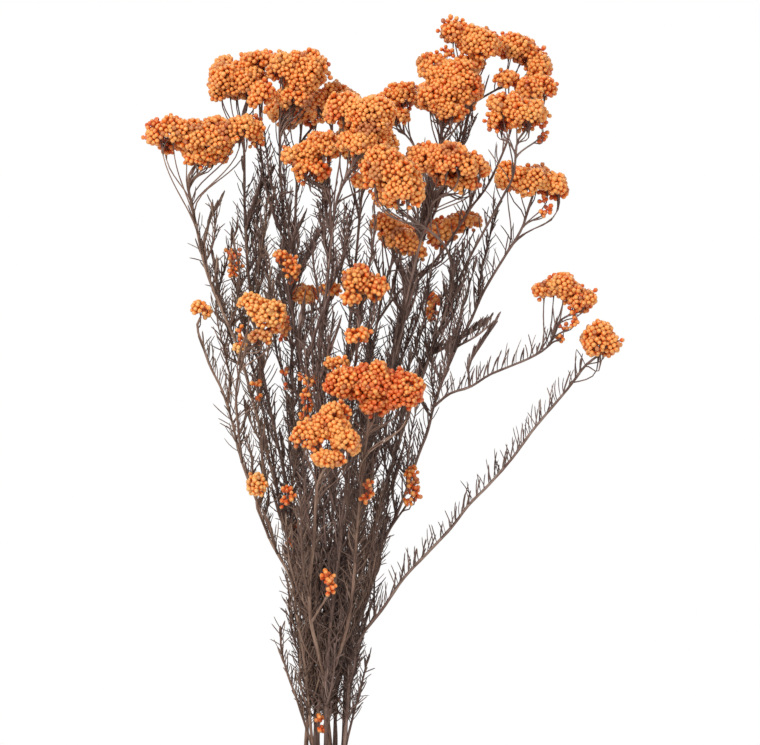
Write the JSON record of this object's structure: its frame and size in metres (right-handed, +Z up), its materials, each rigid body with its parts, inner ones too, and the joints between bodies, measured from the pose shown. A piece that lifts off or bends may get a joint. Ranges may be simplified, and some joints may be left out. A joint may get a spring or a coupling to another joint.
{
  "type": "vase of dried rice flower",
  "caption": "Bunch of dried orange rice flower on thin woody stems with needle leaves, standing in a plain bottle-shaped stoneware vase; a free-standing decoration.",
  "frame": {"origin": "centre of the vase's foot, on the surface that the vase stands on", "axes": "+Z up, +X to the right and +Y to the back as the picture looks at the bunch"},
  "size_m": [0.2845, 0.2234, 0.6492],
  "materials": {
    "stoneware": "matte",
    "brown_stem": "matte",
    "tan_stem": "matte",
    "orange_buds": "matte",
    "pale_buds": "matte",
    "deep_buds": "matte"
  },
  "bodies": {
    "root": {"vase": "stoneware", "stem_a": "tan_stem", "head_a": "orange_buds", "stem_b": "tan_stem", "head_b": "pale_buds", "head_b_loose": "pale_buds", "head_b_low": "pale_buds", "stem_c": "brown_stem", "head_c": "orange_buds", "head_c_bud": "orange_buds", "stem_d": "brown_stem", "head_d": "orange_buds", "head_d_left": "orange_buds", "head_d_front": "orange_buds", "head_d_dark": "orange_buds", "stem_e": "brown_stem", "head_e": "orange_buds", "head_e_side": "orange_buds", "head_e_back": "orange_buds", "head_e_low": "orange_buds", "stem_g": "brown_stem", "head_g": "orange_buds", "head_g_reach": "orange_buds", "head_g_low": "orange_buds", "stem_h": "brown_stem", "head_h": "orange_buds", "head_h_right": "orange_buds", "head_h_dark": "orange_buds", "stem_j": "brown_stem", "head_j": "orange_buds", "stem_k": "brown_stem", "head_k": "orange_buds", "head_k_crown": "orange_buds", "head_k_arc": "orange_buds", "head_k_ring": "orange_buds", "head_k_right": "orange_buds", "stem_m": "brown_stem", "head_m": "orange_buds", "head_m_front": "orange_buds", "stem_n": "tan_stem", "head_n": "orange_buds", "head_n_right": "orange_buds", "head_n_bud": "orange_buds", "stem_o": "brown_stem", "head_o": "deep_buds", "stem_p": "brown_stem", "head_p": "deep_buds", "head_p_right": "deep_buds", "stem_q": "brown_stem", "head_q": "orange_buds", "head_q_low": "orange_buds", "stem_r": "brown_stem", "head_r": "pale_buds", "head_r_mid": "pale_buds", "head_r_low": "pale_buds", "stem_s": "brown_stem", "head_s": "orange_buds", "head_s_mid": "orange_buds"}
  },
  "joints": []
}
